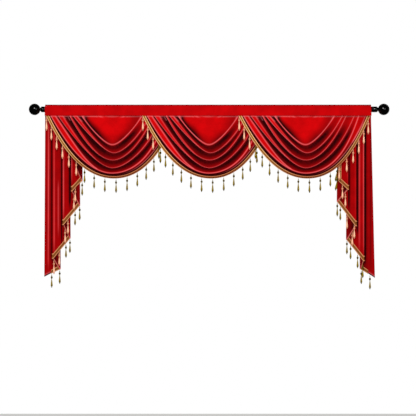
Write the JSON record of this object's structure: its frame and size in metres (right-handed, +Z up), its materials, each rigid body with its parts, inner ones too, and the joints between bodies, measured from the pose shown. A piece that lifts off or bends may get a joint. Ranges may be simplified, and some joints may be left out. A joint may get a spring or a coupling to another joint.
{
  "type": "window valance with curtain rod",
  "caption": "Red velvet swag and cascade valance with a rod pocket, gold braid and bead drops, hanging on a black rod with ball finials.",
  "frame": {"origin": "on the rod's axis at mid-length, where the wall brackets hold the rod", "axes": "+X along the rod to the right as seen from the room, +Y towards the wall, +Z up; the valance faces -Y"},
  "size_m": [2.213, 0.0971, 1.1302],
  "materials": {
    "rod": "gloss black enamel on metal",
    "velvet": "red cut-pile velvet",
    "beaded_braid": "gold braid with pale gold bead drops"
  },
  "bodies": {
    "root": {"rod": "rod", "finial_left": "rod", "finial_right": "rod", "header_pocket": "velvet", "swag_left": "velvet", "swag_middle": "velvet", "swag_right": "velvet", "tail_left": "velvet", "tail_right": "velvet", "swag_trim_left": "beaded_braid", "swag_trim_middle": "beaded_braid", "swag_trim_right": "beaded_braid", "tail_trim_left": "beaded_braid", "tail_trim_right": "beaded_braid"}
  },
  "joints": []
}
